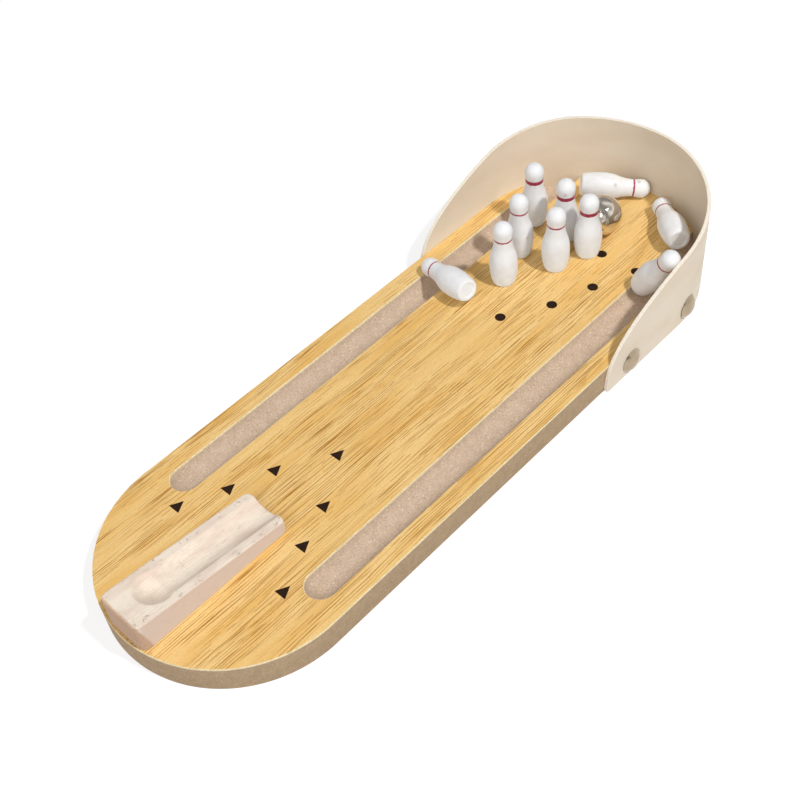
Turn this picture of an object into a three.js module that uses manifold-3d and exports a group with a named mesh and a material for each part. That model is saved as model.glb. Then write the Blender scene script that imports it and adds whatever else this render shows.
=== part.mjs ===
// Table bowling game: a round-ended lane board with two gutters, a bent backstop sheet held by
// dome tacks, a loose launch ramp, ten turned pins and a steel ball.
// Millimetres, +Z up. The origin is the centre of the board's underside; +X runs down the lane
// from the player to the pins, and +Y is the player's left.

import * as THREE from 'three';
import { mergeVertices } from 'three/addons/utils/BufferGeometryUtils.js';
import Module from 'manifold-3d';

const wasm = await Module();
wasm.setup();

// Board: a core with a thin printed sheet on top, both cut to one round-ended outline
const boardWidth = 100;
const laneRun = 197;
const coreThickness = 12;
const laminateThickness = 0.8;

// Gutters: round-bottomed troughs from a rounded near end right through the rear rim
const gutterWidth = 12.2;
const gutterDepth = 5.2;
const gutterRimInset = 14;
const gutterNearInset = 52;

// Backstop: one thin sheet bent round the rear end, with a top edge that sweeps down to its
// two front corners. It was cut by hand: the left arm is shorter and its edge climbs faster. The
// sweep's share is of the run from a front edge to the rear middle, and the two powers bend its
// curve: 2 and 2 would make it a quarter ellipse
const sheetThickness = 1.5;
const sheetHeight = 44.6;
const sheetArmRun = 48.8;
const sheetLeftArmRun = 44.8;
const sheetSweepShare = 0.92;
const sheetLeftSweepShare = 0.71;
const sheetSweepRunPower = 1.63;
const sheetSweepHeightPower = 2.7;
const sheetNose = 2.4;
const sheetGap = 0.1;

// Dome tacks: through the sheet into the core's edge, two in each arm and one at the back
const tackFrontRun = 15.6;
const tackPitchRun = 39;
const tackHeadRadius = 5.4;
const tackHeadRise = 2.4;
const tackHeadWall = 0.6;
const tackShankRadius = 0.8;
const tackShankLength = 10;
const tackPointLength = 2;
const tackSeatGap = 0.15;
const tackHoleClearance = 0.2;

// Launch ramp: a loose wedge with a round groove that starts in a wider, deeper bowl; it stands
// a little to the right of the lane's middle
const rampLength = 65.3;
const rampWidth = 20.1;
const rampNearHeight = 14;
const rampFarHeight = 5.8;
const rampNearInset = 1;
const rampSideShift = -0.75;
const rampNearCornerRadius = 3.2;
const rampFarCornerRadius = 2.2;
const rampGrooveRadius = 9.4;
const rampGrooveDepth = 2.6;
const rampBowlInset = 15.3;
const rampBowlDepth = 3.3;

// Pins: turned from one piece, flat base, low belly, short neck and a ball-shaped head
const pinHeight = 30.5;
const pinBaseRadius = 4.2;
const pinBellyRadius = 5.9;
const pinBellyHeight = 9.5;
const pinNeckRadius = 3.75;
const pinNeckHeight = 23;
const pinHeadRadius = 4.05;

// Ball, and the direction from the pin it lies against, in degrees round from +X
const ballRadius = 8.65;
const ballBearing = 15;

// Free space between neighbouring pins on their spots, side by side and row to row
const pinSideSpace = 5.9;
const pinRowSpace = 6.8;
const headSpotSetback = 51.7;

// Clearances: under flat bases, under rolled and fallen pieces, and past a cut's faces
const seatGap = 0.05;
const restGap = 0.35;
const ballPinGap = 0.5;
const overrun = 2;

// How finely round shapes are divided
const rimDivisions = 20;
const cornerDivisions = 4;
const sweepDivisions = 22;
const gutterSegments = 36;
const gutterEndSteps = 8;
const grooveSegments = 64;
const grooveEndSteps = 12;
const bowlRings = 32;
const pinSegments = 18;
const pinFootSteps = 5;
const pinBodySteps = 6;
const pinNeckSteps = 3;
const pinHeadSteps = 5;
const settleSteps = 6;
const ballSegments = 24;
const ballRings = 16;
const tackSegments = 18;
const tackDomeSteps = 5;
const holeSegments = 16;

// Places that follow from the sizes above
const boardRadius = boardWidth / 2;
const rearX = laneRun / 2;
const nearX = -laneRun / 2 - boardRadius;
const laneTop = coreThickness + laminateThickness;
const gutterOffset = boardRadius - gutterRimInset;
const gutterRadius = ((gutterWidth / 2) ** 2 + gutterDepth ** 2) / (2 * gutterDepth);
const gutterAxisHeight = laneTop - gutterDepth + gutterRadius;
const gutterEndX = nearX + gutterNearInset + gutterWidth / 2;
const sheetInnerRadius = boardRadius + sheetGap;
const sheetOuterRadius = sheetInnerRadius + sheetThickness;
const sheetMidRadius = (sheetInnerRadius + sheetOuterRadius) / 2;
const sheetFrontX = rearX - sheetArmRun;
const sheetBendRun = Math.PI * sheetMidRadius;
const sheetRearRun = sheetArmRun + sheetBendRun / 2;
const sheetTotalRun = sheetArmRun + sheetBendRun + sheetLeftArmRun;
const tackHeight = laneTop / 2;
const spotSidePitch = 2 * pinBellyRadius + pinSideSpace;
const spotRowPitch = 2 * pinBellyRadius + pinRowSpace;
const headSpotX = rearX - headSpotSetback;

function makeMaterial(colour, roughness, metalness = 0) {
  return new THREE.MeshStandardMaterial({ color: new THREE.Color(colour), roughness, metalness });
}

// Turns a closed three.js geometry into a solid that can be joined and cut
function toSolid(geometry) {
  const bare = geometry.clone();
  bare.deleteAttribute('normal');
  bare.deleteAttribute('uv');
  const merged = mergeVertices(bare);
  return new wasm.Manifold(new wasm.Mesh({
    numProp: 3,
    vertProperties: merged.attributes.position.array,
    triVerts: Uint32Array.from(merged.index.array),
  }));
}

// Turns a cut solid back into a three.js geometry
function toGeometry(solid) {
  const mesh = solid.getMesh();
  const geometry = new THREE.BufferGeometry();
  geometry.setAttribute('position', new THREE.BufferAttribute(mesh.vertProperties, 3));
  geometry.setIndex(new THREE.BufferAttribute(mesh.triVerts, 1));
  geometry.computeVertexNormals();
  return geometry;
}

function named(name, geometry, material) {
  const mesh = new THREE.Mesh(geometry, material);
  mesh.name = name;
  return mesh;
}

function extrudeUp(shape, height, divisions) {
  const options = { depth: height, bevelEnabled: false, curveSegments: divisions };
  return new THREE.ExtrudeGeometry(shape, options);
}

// A side view drawn in x and z, extruded across the object and centred on its middle plane
function extrudeAcross(shape, width, divisions) {
  const geometry = extrudeUp(shape, width, divisions);
  geometry.translate(0, 0, -width / 2);
  geometry.rotateX(Math.PI / 2);
  return geometry;
}

// A round-nosed cutter along +X: a ball end centred on the origin, then a straight shank
function roundNosedCutter(radius, length, segments, endSteps) {
  const profile = [];
  for (let step = 0; step <= endSteps; step += 1) {
    const angle = (step / endSteps) * (Math.PI / 2);
    profile.push(new THREE.Vector2(radius * Math.sin(angle), -radius * Math.cos(angle)));
  }
  profile.push(new THREE.Vector2(radius, length));
  profile.push(new THREE.Vector2(0, length));
  profile[0].x = 0;
  const geometry = new THREE.LatheGeometry(profile, segments);
  geometry.rotateZ(-Math.PI / 2);
  return geometry;
}

// The board's outline: a straight run between two half circles
function boardOutline() {
  const shape = new THREE.Shape();
  shape.moveTo(-rearX, -boardRadius);
  shape.lineTo(rearX, -boardRadius);
  shape.absarc(rearX, 0, boardRadius, -Math.PI / 2, Math.PI / 2, false);
  shape.lineTo(-rearX, boardRadius);
  shape.absarc(-rearX, 0, boardRadius, Math.PI / 2, 1.5 * Math.PI, false);
  return shape;
}

// Both gutters as one pair of cutters
function gutterCutters() {
  const length = rearX + boardRadius + overrun - gutterEndX;
  return [gutterOffset, -gutterOffset].map((y) => {
    const geometry = roundNosedCutter(gutterRadius, length, gutterSegments, gutterEndSteps);
    geometry.translate(gutterEndX, y, gutterAxisHeight);
    return toSolid(geometry);
  });
}

function cutAll(solid, cutters) {
  return cutters.reduce((left, cutter) => left.subtract(cutter), solid);
}

// Place and outward direction of a point on the sheet's outer face, by its run from the front
// edge of the right-hand arm
function sheetPoint(run) {
  const alongArc = Math.max(0, Math.min(run - sheetArmRun, sheetBendRun));
  const angle = alongArc / sheetMidRadius - Math.PI / 2;
  const straight = run - alongArc;
  const armX = straight <= sheetArmRun ? straight : 2 * sheetArmRun - straight;
  const out = new THREE.Vector3(Math.cos(angle), Math.sin(angle), 0);
  const place = new THREE.Vector3(sheetFrontX + armX, 0, tackHeight);
  place.addScaledVector(out, sheetOuterRadius);
  return { place, out };
}

function tackStations() {
  const secondRun = tackFrontRun + tackPitchRun;
  const runs = [
    tackFrontRun,
    secondRun,
    sheetRearRun,
    sheetTotalRun - secondRun,
    sheetTotalRun - tackFrontRun,
  ];
  return runs.map(sheetPoint);
}

// Pilot holes for the tack shanks, through the sheet and on into the core
function tackHoleCutters() {
  const radius = tackShankRadius + tackHoleClearance;
  const depth = tackShankLength + tackHoleClearance;
  return tackStations().map(({ place, out }) => {
    const geometry = new THREE.CylinderGeometry(radius, radius, depth + overrun, holeSegments);
    geometry.translate(0, (overrun - depth) / 2, 0);
    geometry.applyQuaternion(new THREE.Quaternion().setFromUnitVectors(THREE.Object3D.DEFAULT_UP, out));
    geometry.translate(place.x, place.y, place.z);
    return toSolid(geometry);
  });
}

function makeBoardCore() {
  const slab = toSolid(extrudeUp(boardOutline(), coreThickness, rimDivisions));
  const solid = cutAll(cutAll(slab, gutterCutters()), tackHoleCutters());
  return named('board_core', toGeometry(solid), makeMaterial('#b8a18e', 0.85));
}

function makeLaneLaminate() {
  const geometry = extrudeUp(boardOutline(), laminateThickness, rimDivisions);
  geometry.translate(0, 0, coreThickness);
  const solid = cutAll(toSolid(geometry), gutterCutters());
  return named('lane_laminate', toGeometry(solid), makeMaterial('#e6bd74', 0.45));
}

// The sheet in plan: two straight arms joined by the rear half circle
function sheetPlan() {
  const armEnd = sheetFrontX - overrun;
  const shape = new THREE.Shape();
  shape.moveTo(armEnd, -sheetOuterRadius);
  shape.lineTo(rearX, -sheetOuterRadius);
  shape.absarc(rearX, 0, sheetOuterRadius, -Math.PI / 2, Math.PI / 2, false);
  shape.lineTo(armEnd, sheetOuterRadius);
  shape.lineTo(armEnd, sheetInnerRadius);
  shape.lineTo(rearX, sheetInnerRadius);
  shape.absarc(rearX, 0, sheetInnerRadius, Math.PI / 2, -Math.PI / 2, true);
  shape.lineTo(armEnd, -sheetInnerRadius);
  return shape;
}

// One half of the sheet from the side: the flat sheet's top edge is a quarter of a squared-off
// ellipse that climbs from the front corner, drawn here where the bend puts it, and then stays
// level. Both halves are level at the rear, where they overlap
function sheetSideView(armRun, sweepShare) {
  const frontX = rearX - armRun;
  const sweepRun = sweepShare * (armRun + sheetBendRun / 2);
  const farX = rearX + sheetOuterRadius + overrun;
  const firstAngle = Math.asin((sheetNose / sheetHeight) ** (sheetSweepHeightPower / 2));
  const shape = new THREE.Shape();
  shape.moveTo(farX, sheetHeight);
  for (let step = sweepDivisions; step >= 0; step -= 1) {
    const angle = firstAngle + (step / sweepDivisions) * (Math.PI / 2 - firstAngle);
    const run = sweepRun * (1 - Math.cos(angle) ** (2 / sheetSweepRunPower));
    const bend = Math.max(0, run - armRun) / sheetMidRadius;
    const x = frontX + Math.min(run, armRun) + sheetMidRadius * Math.sin(bend);
    shape.lineTo(x, sheetHeight * Math.sin(angle) ** (2 / sheetSweepHeightPower));
  }
  shape.quadraticCurveTo(frontX, 0, frontX + sheetNose, 0);
  shape.lineTo(farX, 0);
  return shape;
}

function makeBackstopSheet() {
  const bent = toSolid(extrudeUp(sheetPlan(), sheetHeight + overrun, rimDivisions));
  const reach = sheetOuterRadius + overrun;
  const width = reach + overrun;
  const rightView = sheetSideView(sheetArmRun, sheetSweepShare);
  const leftView = sheetSideView(sheetLeftArmRun, sheetLeftSweepShare);
  const right = extrudeAcross(rightView, width, cornerDivisions);
  const left = extrudeAcross(leftView, width, cornerDivisions);
  right.translate(0, (overrun - reach) / 2, 0);
  left.translate(0, (reach - overrun) / 2, 0);
  const sides = toSolid(right).add(toSolid(left));
  const solid = cutAll(bent.intersect(sides), tackHoleCutters());
  return named('backstop_sheet', toGeometry(solid), makeMaterial('#e5d8c2', 0.55));
}

// Upholstery-style tack: a hollow dome head on a pointed shank, its rim plane at height zero
function tackGeometry() {
  const domeRadius = (tackHeadRadius ** 2 + tackHeadRise ** 2) / (2 * tackHeadRise);
  const domeCentre = tackHeadRise - domeRadius;
  const innerRadius = domeRadius - tackHeadWall;
  const rimAngle = Math.acos(-domeCentre / domeRadius);
  const innerRimAngle = Math.acos(-domeCentre / innerRadius);
  const shankAngle = Math.asin(tackShankRadius / innerRadius);
  const profile = [
    new THREE.Vector2(0, -tackShankLength),
    new THREE.Vector2(tackShankRadius, tackPointLength - tackShankLength),
  ];
  for (let step = 0; step <= tackDomeSteps; step += 1) {
    const angle = shankAngle + (step / tackDomeSteps) * (innerRimAngle - shankAngle);
    profile.push(new THREE.Vector2(
      innerRadius * Math.sin(angle),
      domeCentre + innerRadius * Math.cos(angle),
    ));
  }
  for (let step = tackDomeSteps; step >= 0; step -= 1) {
    const angle = (step / tackDomeSteps) * rimAngle;
    profile.push(new THREE.Vector2(
      domeRadius * Math.sin(angle),
      domeCentre + domeRadius * Math.cos(angle),
    ));
  }
  return new THREE.LatheGeometry(profile, tackSegments);
}

function makeDomeTacks() {
  return tackStations().map(({ place, out }, index) => {
    const tack = named(`dome_tack_${index + 1}`, tackGeometry(), makeMaterial('#c9c9c9', 0.15, 1));
    tack.quaternion.setFromUnitVectors(THREE.Object3D.DEFAULT_UP, out);
    tack.position.copy(place).addScaledVector(out, tackSeatGap);
    return tack;
  });
}

// Launch ramp in its own frame: near end at x = 0, underside at z = 0
function rampPlan() {
  const side = rampWidth / 2;
  const near = rampNearCornerRadius;
  const far = rampFarCornerRadius;
  const shape = new THREE.Shape();
  shape.moveTo(near, -side);
  shape.lineTo(rampLength - far, -side);
  shape.absarc(rampLength - far, far - side, far, -Math.PI / 2, 0, false);
  shape.lineTo(rampLength, side - far);
  shape.absarc(rampLength - far, side - far, far, 0, Math.PI / 2, false);
  shape.lineTo(near, side);
  shape.absarc(near, side - near, near, Math.PI / 2, Math.PI, false);
  shape.lineTo(0, near - side);
  shape.absarc(near, near - side, near, Math.PI, 1.5 * Math.PI, false);
  return shape;
}

// The wedge from the side, running past both ends along the same slope
function rampSideView() {
  const slope = (rampFarHeight - rampNearHeight) / rampLength;
  const shape = new THREE.Shape();
  shape.moveTo(-overrun, -overrun);
  shape.lineTo(rampLength + overrun, -overrun);
  shape.lineTo(rampLength + overrun, rampFarHeight + slope * overrun);
  shape.lineTo(-overrun, rampNearHeight - slope * overrun);
  return shape;
}

// The groove and the bowl it starts from, both square to the ramp's sloping top
function rampHollowCutters() {
  const fall = Math.atan2(rampNearHeight - rampFarHeight, rampLength);
  const groove = roundNosedCutter(rampGrooveRadius, rampLength, grooveSegments, grooveEndSteps);
  groove.translate(rampBowlInset, 0, rampGrooveRadius - rampGrooveDepth);
  const bowl = new THREE.SphereGeometry(rampGrooveRadius, grooveSegments, bowlRings);
  bowl.rotateX(Math.PI / 2);
  bowl.translate(rampBowlInset, 0, rampGrooveRadius - rampBowlDepth);
  return [groove, bowl].map((geometry) => {
    geometry.rotateY(fall);
    geometry.translate(0, 0, rampNearHeight);
    return toSolid(geometry);
  });
}

function makeLaunchRamp() {
  const block = toSolid(extrudeUp(rampPlan(), rampNearHeight + overrun, cornerDivisions));
  const wedge = toSolid(extrudeAcross(rampSideView(), rampWidth + 2 * overrun, 1));
  const solid = cutAll(block.intersect(wedge), rampHollowCutters());
  const ramp = named('launch_ramp', toGeometry(solid), makeMaterial('#e3cfc0', 0.6));
  ramp.position.set(nearX + rampNearInset, rampSideShift, laneTop + seatGap);
  return ramp;
}

// The pin's outline as radius and height, from the middle of its base to the top of its head
function pinProfile() {
  const headCentre = pinHeight - pinHeadRadius;
  const lowerRise = pinBellyHeight / 2;
  const bodyRise = (pinNeckHeight - pinBellyHeight) / 2;
  const neckRise = (headCentre - pinNeckHeight) / 2;
  const lower = new THREE.CubicBezierCurve(
    new THREE.Vector2(pinBaseRadius, 0),
    new THREE.Vector2((pinBaseRadius + pinBellyRadius) / 2, 0),
    new THREE.Vector2(pinBellyRadius, pinBellyHeight - lowerRise),
    new THREE.Vector2(pinBellyRadius, pinBellyHeight),
  );
  const body = new THREE.CubicBezierCurve(
    new THREE.Vector2(pinBellyRadius, pinBellyHeight),
    new THREE.Vector2(pinBellyRadius, pinBellyHeight + bodyRise),
    new THREE.Vector2(pinNeckRadius, pinNeckHeight - bodyRise),
    new THREE.Vector2(pinNeckRadius, pinNeckHeight),
  );
  const neck = new THREE.CubicBezierCurve(
    new THREE.Vector2(pinNeckRadius, pinNeckHeight),
    new THREE.Vector2(pinNeckRadius, pinNeckHeight + neckRise),
    new THREE.Vector2(pinHeadRadius, headCentre - neckRise),
    new THREE.Vector2(pinHeadRadius, headCentre),
  );
  const head = new THREE.EllipseCurve(
    0, headCentre, pinHeadRadius, pinHeadRadius, 0, Math.PI / 2, false, 0,
  );
  const points = [new THREE.Vector2(0, 0), ...lower.getPoints(pinFootSteps)];
  points.push(...body.getPoints(pinBodySteps).slice(1));
  points.push(...neck.getPoints(pinNeckSteps).slice(1));
  points.push(...head.getPoints(pinHeadSteps).slice(1));
  points[points.length - 1].x = 0;
  return points;
}

function pinGeometry() {
  const geometry = new THREE.LatheGeometry(pinProfile(), pinSegments);
  geometry.rotateX(Math.PI / 2);
  return geometry;
}

// Height of the lane's surface under a point, with the gutters' round floors
function floorHeight(x, y) {
  const across = Math.abs(y) - gutterOffset;
  const past = Math.min(0, x - gutterEndX);
  const reach = gutterRadius ** 2 - across ** 2 - past ** 2;
  const trough = reach > 0 ? gutterAxisHeight - Math.sqrt(reach) : laneTop;
  return Math.min(laneTop, trough);
}

// Lowers a fallen pin until its outline, measured at its vertices and between them, rests just
// clear of the lane and its gutters
function settledHeight(pin) {
  pin.position.z = 0;
  pin.updateMatrixWorld(true);
  const places = pin.geometry.attributes.position;
  const from = new THREE.Vector3();
  const to = new THREE.Vector3();
  const point = new THREE.Vector3();
  let height = -Infinity;
  for (let index = 1; index < places.count; index += 1) {
    from.fromBufferAttribute(places, index - 1).applyMatrix4(pin.matrixWorld);
    to.fromBufferAttribute(places, index).applyMatrix4(pin.matrixWorld);
    for (let step = 0; step <= settleSteps; step += 1) {
      point.lerpVectors(from, to, step / settleSteps);
      height = Math.max(height, floorHeight(point.x, point.y) - point.z);
    }
  }
  return height + restGap;
}

function makePin(name) {
  return named(name, pinGeometry(), makeMaterial('#f1efec', 0.5));
}

// The ten printed spots, row by row, across the lane in shares of the side pitch
const spotRowShares = [[0], [0.66, -0.66], [1.03, 0, -1.03], [1.5, 0.5, -0.5, -1.5]];

function spotPlaces() {
  return spotRowShares.flatMap((row, index) => row.map((share) => new THREE.Vector2(
    headSpotX + index * spotRowPitch,
    share * spotSidePitch,
  )));
}

// Pins still standing: the pin's number and how far off its spot it stands, in shares of the
// side pitch
const standingShares = [
  { pin: 2, along: -0.035, across: 0.08 },
  { pin: 4, along: -0.1, across: 0.05 },
  { pin: 5, along: 0.04, across: 0.1 },
  { pin: 7, along: -0.03, across: 0.03 },
  { pin: 8, along: -0.05, across: 0.07 },
  { pin: 9, along: -0.17, across: 0.3 },
];

function standingPlace({ pin, along, across }) {
  const spot = spotPlaces()[pin - 1];
  return new THREE.Vector2(spot.x + along * spotSidePitch, spot.y + across * spotSidePitch);
}

function makeStandingPins() {
  return standingShares.map((stand) => {
    const pin = makePin(`pin_${stand.pin}`);
    const place = standingPlace(stand);
    pin.position.set(place.x, place.y, laneTop + seatGap);
    return pin;
  });
}

// Pins knocked over: the place of the belly's centre in shares of the room inside the sheet,
// from the rear arc's centre, then which way the head points round from +X and how far it tips
// below level, both in degrees. The head of a pin that leans on the sheet tips above level
const fallenShares = [
  { pin: 1, along: -1.196, across: 0.53, turn: 78, dip: 11 },
  { pin: 3, along: 0.776, across: 0.312, turn: -50, dip: 7 },
  { pin: 6, along: -0.033, across: -0.841, turn: -97, dip: -59 },
  { pin: 10, along: 0.662, across: -0.598, turn: 50, dip: 7 },
];

function makeFallenPins() {
  const room = sheetInnerRadius - pinBellyRadius;
  return fallenShares.map(({ pin, along, across, turn, dip }) => {
    const piece = makePin(`pin_${pin}`);
    const heading = THREE.MathUtils.degToRad(turn);
    const drop = THREE.MathUtils.degToRad(dip);
    const axis = new THREE.Vector3(
      Math.cos(heading) * Math.cos(drop),
      Math.sin(heading) * Math.cos(drop),
      -Math.sin(drop),
    );
    piece.quaternion.setFromUnitVectors(new THREE.Vector3(0, 0, 1), axis);
    piece.position.set(rearX + along * room, across * room, 0);
    piece.position.addScaledVector(axis, -pinBellyHeight);
    piece.position.z = settledHeight(piece);
    return piece;
  });
}

// The ball lies just behind the last standing pin
function makeSteelBall() {
  const neighbour = standingPlace(standingShares[standingShares.length - 1]);
  const bearing = THREE.MathUtils.degToRad(ballBearing);
  const reach = pinBellyRadius + ballRadius + ballPinGap;
  const geometry = new THREE.SphereGeometry(ballRadius, ballSegments, ballRings);
  geometry.rotateX(Math.PI / 2);
  const ball = named('steel_ball', geometry, makeMaterial('#b9b7b4', 0.12, 1));
  ball.position.set(
    neighbour.x + reach * Math.cos(bearing),
    neighbour.y + reach * Math.sin(bearing),
    laneTop + restGap + ballRadius,
  );
  return ball;
}

const tableBowlingGame = new THREE.Group();
tableBowlingGame.name = 'table_bowling_game';
tableBowlingGame.add(
  makeBoardCore(),
  makeLaneLaminate(),
  makeBackstopSheet(),
  ...makeDomeTacks(),
  makeLaunchRamp(),
  ...makeStandingPins(),
  ...makeFallenPins(),
  makeSteelBall(),
);

export default tableBowlingGame;
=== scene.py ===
# %% [markdown]
# # Table bowling game
# A bowling lane for a table top. A round-ended fibreboard carries a printed oak surface
# and two gutters, a thin wooden backstop is bent round its far end and held by dome
# tacks, and a loose launch ramp, ten painted pins and a steel ball stand on it. Every
# piece is modelled at real size, in metres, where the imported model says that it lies.

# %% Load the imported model
import math

import bmesh
import bpy
import numpy as np
from mathutils import Matrix, Vector


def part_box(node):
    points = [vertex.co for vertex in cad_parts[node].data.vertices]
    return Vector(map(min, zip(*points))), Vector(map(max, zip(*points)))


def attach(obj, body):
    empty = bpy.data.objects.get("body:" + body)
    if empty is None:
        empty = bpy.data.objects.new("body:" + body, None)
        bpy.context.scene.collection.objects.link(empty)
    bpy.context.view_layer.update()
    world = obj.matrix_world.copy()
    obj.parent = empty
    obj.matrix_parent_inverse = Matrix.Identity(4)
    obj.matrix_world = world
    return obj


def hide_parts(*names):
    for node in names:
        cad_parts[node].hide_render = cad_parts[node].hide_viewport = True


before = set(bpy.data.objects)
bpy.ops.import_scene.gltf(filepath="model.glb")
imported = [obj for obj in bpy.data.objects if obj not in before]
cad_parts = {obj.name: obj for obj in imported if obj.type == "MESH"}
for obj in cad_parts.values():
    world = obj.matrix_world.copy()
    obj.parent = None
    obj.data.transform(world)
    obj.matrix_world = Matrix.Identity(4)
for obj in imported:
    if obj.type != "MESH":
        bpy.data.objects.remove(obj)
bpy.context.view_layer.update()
MM = 0.001
scene = bpy.context.scene

# %% [markdown]
# ## Camera
# The photograph was taken by hand from the player's left, looking down the lane. The
# camera could be set by eye, but here its place, lens and slight roll come from a fit of
# the board's outline and gutters, so every piece falls where the photograph shows it.

# %% Camera
LOOK_FROM = Vector((-0.22291, -0.23430, 0.35999))
LOOK_AT = Vector((-0.0119, 0.0008, 0.0128))
CAMERA_ROLL = math.radians(-6.69)
CAMERA_LENS = 55.05
CAMERA_SENSOR = 36

camera_data = bpy.data.cameras.new("table_camera")
camera_data.lens = CAMERA_LENS
camera_data.sensor_width = CAMERA_SENSOR
camera = bpy.data.objects.new("table_camera", camera_data)
scene.collection.objects.link(camera)
aim = (LOOK_AT - LOOK_FROM).to_track_quat("-Z", "Y").to_matrix()
aim = aim @ Matrix.Rotation(CAMERA_ROLL, 3, "Z")
camera.matrix_world = Matrix.Translation(LOOK_FROM) @ aim.to_4x4()
scene.camera = camera
scene.view_settings.view_transform = "Standard"
print("camera to lane:", round((LOOK_AT - LOOK_FROM).length, 3), "m")

# %% [markdown]
# ## Node helpers
# Materials and the world are node trees, and in code each node takes three or four lines.
# One helper that adds a node and fills or links its inputs keeps the cells below short,
# so they say only what a finish is made of.

# %% Node helpers
def srgb(red, green, blue):
    """A colour written as seen on screen, 0 to 255, as the linear colour nodes want."""
    parts = []
    for part in (red, green, blue):
        share = part / 255
        bright = ((share + 0.055) / 1.055) ** 2.4
        parts.append(share / 12.92 if share <= 0.04045 else bright)
    return (*parts, 1)


def add_node(tree, kind, inputs=None, **options):
    """Add a shader node, set its options, and give each input a value or a link."""
    made = tree.nodes.new("ShaderNode" + kind)
    for option, value in options.items():
        setattr(made, option, value)
    for place, value in (inputs or {}).items():
        if isinstance(value, bpy.types.NodeSocket):
            tree.links.new(value, made.inputs[place])
        else:
            made.inputs[place].default_value = value
    return made


def sum_up(tree, operation, first, second=0.0, third=0.0):
    """One Math node."""
    inputs = {0: first, 1: second, 2: third}
    return add_node(tree, "Math", inputs, operation=operation).outputs[0]


def times(tree, first, second):
    """The product of two values."""
    return sum_up(tree, "MULTIPLY", first, second)


def fade(tree, value, start, end, low=0.0, high=1.0):
    """Turn a value into a soft step from low to high between start and end."""
    inputs = {"Value": value, "From Min": start, "From Max": end, "To Min": low, "To Max": high}
    return add_node(tree, "MapRange", inputs, interpolation_type="SMOOTHSTEP").outputs[0]


def blend(tree, factor, first, second):
    """Mix two colours."""
    inputs = {0: factor, 6: first, 7: second}
    return add_node(tree, "Mix", inputs, data_type="RGBA").outputs[2]


def stretch(tree, vector, scale=(1, 1, 1), turn=(0, 0, 0), shift=(0, 0, 0)):
    """Scale, turn and move a pattern's coordinates."""
    inputs = {"Vector": vector, "Location": shift, "Rotation": turn, "Scale": scale}
    return add_node(tree, "Mapping", inputs).outputs[0]


def noise(tree, vector, scale, detail=2.0, roughness=0.5, twist=0.0, **moves):
    """A cloud of grey values around one half, drawn out if its scale has three parts."""
    if isinstance(scale, tuple):
        vector = stretch(tree, vector, scale, **moves)
        scale = 1
    inputs = {"Vector": vector, "Scale": scale, "Detail": detail, "Roughness": roughness,
              "Distortion": twist}
    return add_node(tree, "TexNoise", inputs).outputs[0]


def place_in_mm(tree):
    """Object coordinates in millimetres, so that a pattern's scale is per millimetre."""
    place = add_node(tree, "TexCoord").outputs["Object"]
    return stretch(tree, place, (1 / MM, 1 / MM, 1 / MM))


def seen_directly(tree):
    """One where the camera, or a mirror or glass in front of it, looks at this."""
    path = add_node(tree, "LightPath").outputs
    mirror = sum_up(tree, "MAXIMUM", path["Is Glossy Ray"], path["Is Transmission Ray"])
    return sum_up(tree, "MAXIMUM", path["Is Camera Ray"], mirror)


# %% [markdown]
# ## Mesh helpers
# Every mesh starts as a bmesh and ends in an object at the origin, unturned. A few steps
# come back for the floor and for most pieces, so they are written once, here.

# %% Mesh helpers
TINY = MM / 100
WELD = MM / 1000


def facing(way):
    """The turn that takes +Z to a direction."""
    return way.to_track_quat("Z", "Y").to_matrix().to_4x4()


def move(shape, vec):
    """Move a whole shape."""
    bmesh.ops.translate(shape, verts=shape.verts, vec=vec)


def thicken(shape, vec):
    """Give a flat shape a thickness."""
    raised = bmesh.ops.extrude_face_region(shape, geom=shape.faces[:])["geom"]
    lifted = [item for item in raised if isinstance(item, bmesh.types.BMVert)]
    bmesh.ops.translate(shape, verts=lifted, vec=vec)
    bmesh.ops.recalc_face_normals(shape, faces=shape.faces)


def ease(shape, items, offset, segments, affect="EDGES"):
    """Round off some edges or corners."""
    bmesh.ops.bevel(shape, geom=items, offset=offset, segments=segments, profile=0.5,
                    affect=affect, material=-1)


def object_from(shape, label):
    """Put a bmesh into a new object at the origin."""
    mesh = bpy.data.meshes.new(label)
    shape.to_mesh(mesh)
    shape.free()
    made = bpy.data.objects.new(label, mesh)
    scene.collection.objects.link(made)
    return made


# %% [markdown]
# ## Light and floor
# The photograph has a small high lamp on the player's right, whose shadows read clearly,
# and a broad soft one on the camera's side, which keeps the near faces bright. Two area
# lamps and an even world give the same. The floor is pale: what rays from the object find
# there is a table's gentle bounce, and its full white is kept for rays that look at it.

# %% Lamps
LAMP_DISTANCE = 2.0
KEY_TOWARDS = Vector((0.11, -0.62, 1.0)).normalized()
KEY_SIZE = 0.14
KEY_POWER = 23.0
FILL_TOWARDS = Vector((-0.75, -0.25, 0.6)).normalized()
FILL_SIZE = 1.3
FILL_POWER = 13.0


def hang_lamp(label, towards, size, power):
    """A round lamp that looks at the board from one direction."""
    data = bpy.data.lights.new(label, "AREA")
    data.shape = "DISK"
    data.size = size
    data.energy = power
    lamp = bpy.data.objects.new(label, data)
    scene.collection.objects.link(lamp)
    lamp.matrix_world = Matrix.Translation(towards * LAMP_DISTANCE) @ facing(towards)
    print(label, "stands", round(math.degrees(math.asin(towards.z))), "degrees up")


hang_lamp("key_lamp", KEY_TOWARDS, KEY_SIZE, KEY_POWER)
hang_lamp("fill_lamp", FILL_TOWARDS, FILL_SIZE, FILL_POWER)

# %% [markdown]
# ### What the mirrors see
# A polished ball shows the whole studio: the white backdrop up to some height and the dim
# room with its ceiling above it, which is what makes it look like steel. The world is
# white for the camera, and for mirrors it is white up to the backdrop's top and then a
# patchy grey. Everything else gets one even fill.

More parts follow.
